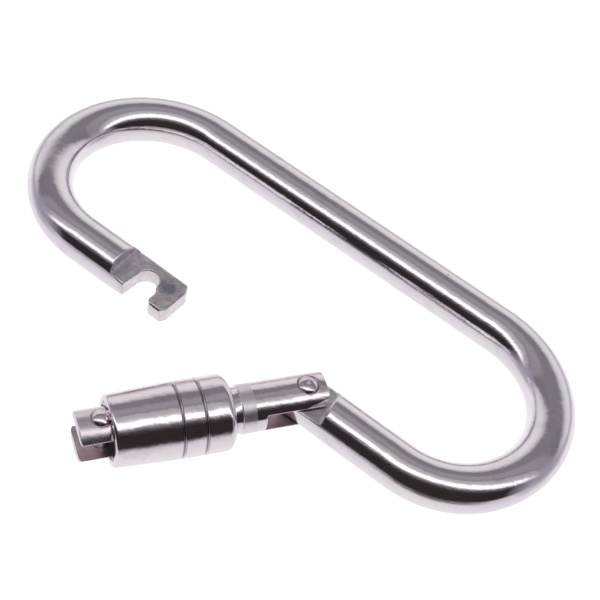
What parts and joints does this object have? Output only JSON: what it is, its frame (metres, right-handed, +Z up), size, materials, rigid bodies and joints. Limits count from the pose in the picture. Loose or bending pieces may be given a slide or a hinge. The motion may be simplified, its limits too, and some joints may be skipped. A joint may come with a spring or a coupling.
{
  "type": "locking snap hook",
  "caption": "Round-bar stainless snap hook with a hinged fork gate, a latch rivet that drops into a notched nose, and a spring-loaded lock sleeve.",
  "frame": {"origin": "centre of the bounding box's underside, in the pictured pose: hook flat, gate swung open, sleeve forward", "axes": "+X along the hook's straight back from the nose end to the hinge end, +Y away from the gate, +Z up, square to the hook's plane and along the hinge axis"},
  "size_m": [0.1078, 0.0718, 0.0124],
  "materials": {
    "hook_body": "mirror polished stainless steel",
    "gate_bar": "polished stainless steel with a satin band",
    "hinge_rivet": "stainless steel, flat peened head",
    "latch_rivet": "stainless steel, domed head",
    "lock_sleeve": "mirror polished stainless steel",
    "sleeve_end_bush": "turned stainless steel",
    "lock_spring": "drawn stainless spring wire",
    "spring_thrust_washer": "stamped stainless steel",
    "spring_seat_washer": "stamped stainless steel",
    "retaining_ring": "spring steel, plain"
  },
  "bodies": {
    "hook": {"hook_body": "hook_body"},
    "pivot": {"hinge_rivet": "hinge_rivet"},
    "gate": {"gate_bar": "gate_bar", "latch_rivet": "latch_rivet", "retaining_ring": "retaining_ring", "spring_seat_washer": "spring_seat_washer", "lock_spring": "lock_spring"},
    "carrier": {"spring_thrust_washer": "spring_thrust_washer"},
    "sleeve": {"lock_sleeve": "lock_sleeve", "sleeve_end_bush": "sleeve_end_bush"}
  },
  "joints": [
    {"name": "rivet_in_tang", "type": "hinge", "parent": "hook", "child": "pivot", "pos_m": [0.01547, -0.0033, 0.0062], "axis": [0, 0, 1], "range_deg": [-35, 58]},
    {"name": "gate_on_rivet", "type": "hinge", "parent": "pivot", "child": "gate", "pos_m": [0.01547, -0.0033, 0.0062], "axis": [0, 0, 1], "range_deg": [-20.65, 0]},
    {"name": "sleeve_slide", "type": "slide", "parent": "gate", "child": "carrier", "axis": [0.5642, 0.8256, 0], "range_m": [0, 0.0062], "stiffness_N_per_m": 250, "springref_m": -0.005, "deforming": ["lock_spring"]},
    {"name": "sleeve_spin", "type": "hinge", "parent": "carrier", "child": "sleeve", "pos_m": [0.01547, -0.0033, 0.0062], "axis": [-0.5642, -0.8256, 0], "continuous": true}
  ]
}
